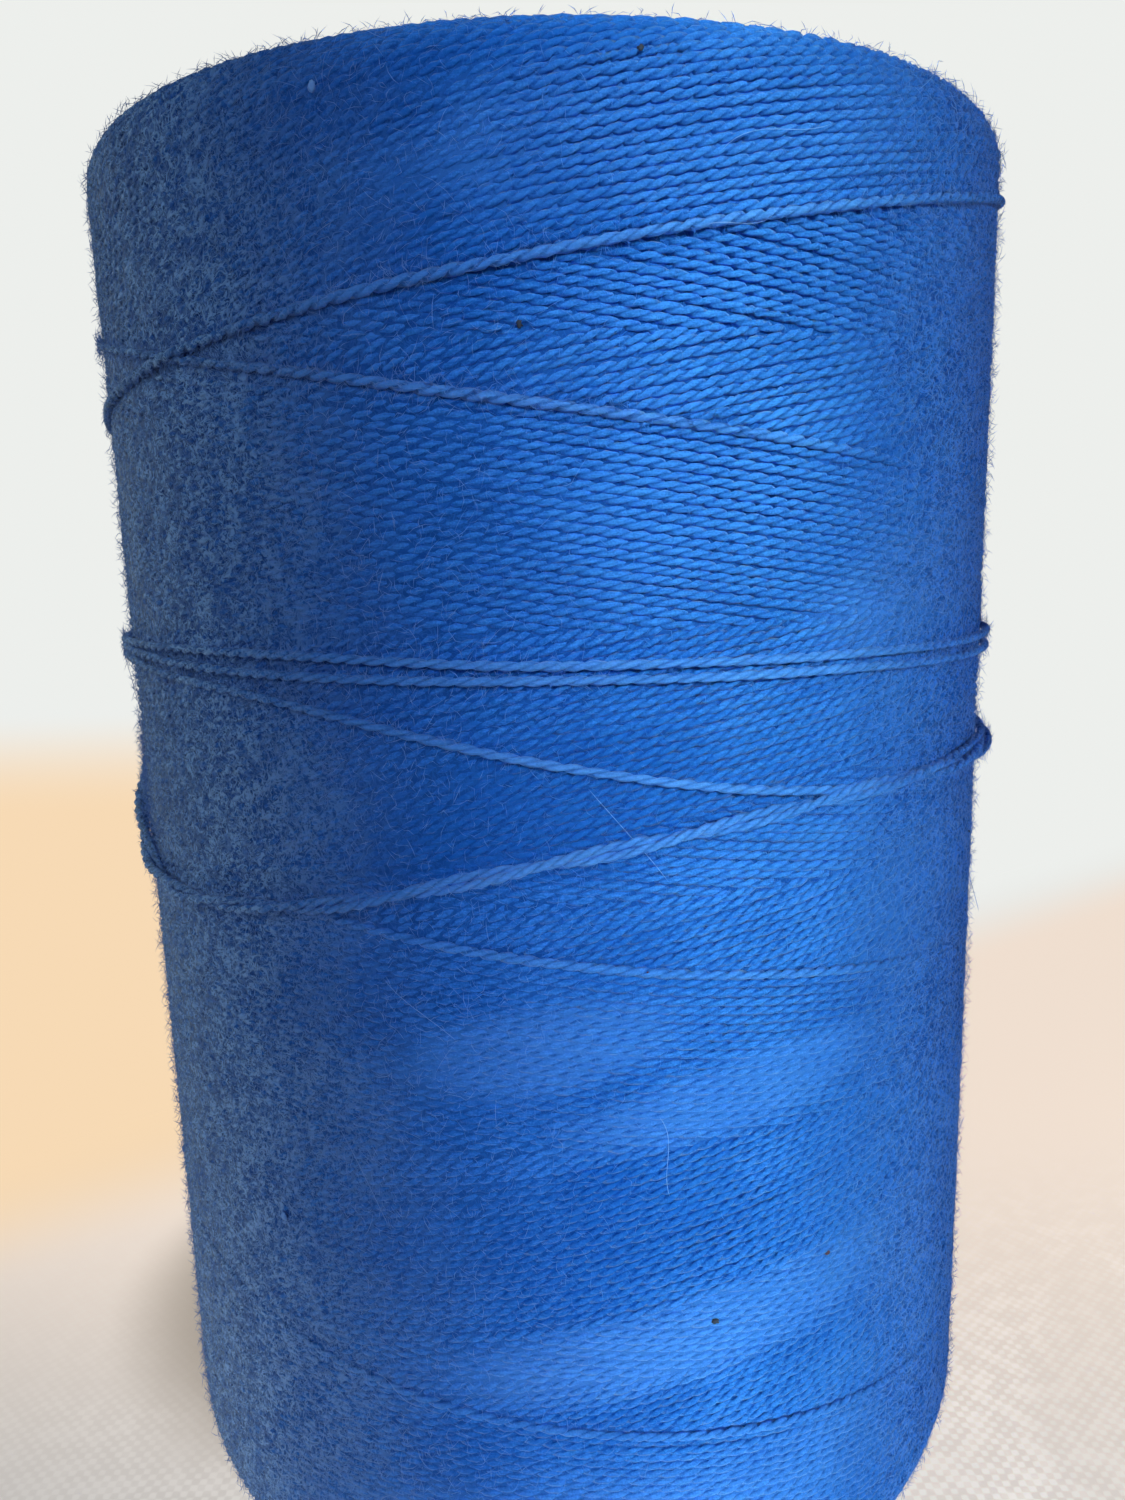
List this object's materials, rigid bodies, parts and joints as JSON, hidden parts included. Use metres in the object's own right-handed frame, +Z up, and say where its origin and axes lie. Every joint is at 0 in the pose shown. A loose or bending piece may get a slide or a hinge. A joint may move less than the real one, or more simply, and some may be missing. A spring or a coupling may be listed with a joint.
{
  "type": "tube of cross-wound sewing thread",
  "caption": "Straight spiral-wound paper tube with a cross-wound package of two-ply cotton thread and a loose end wrapped round it.",
  "frame": {"origin": "centre of the bore at the tube's lower end, where the part stands", "axes": "+Z up the axis of the tube, -Y towards the front, where the loose end's slanting wrap shows"},
  "size_m": [0.0818, 0.0796, 0.127],
  "materials": {
    "liner_paper": "matt brown kraft paper",
    "body_board": "matt grey-brown board with cut ply edges",
    "parchment_paper": "smooth calendered kraft paper",
    "thread": "royal blue two-ply spun cotton, matt with a fine fuzz"
  },
  "bodies": {
    "root": {"tube_liner": "liner_paper", "tube_body": "body_board", "tube_parchment": "parchment_paper", "thread_core": "thread", "outer_turns": "thread", "tail_wraps": "thread"}
  },
  "joints": []
}
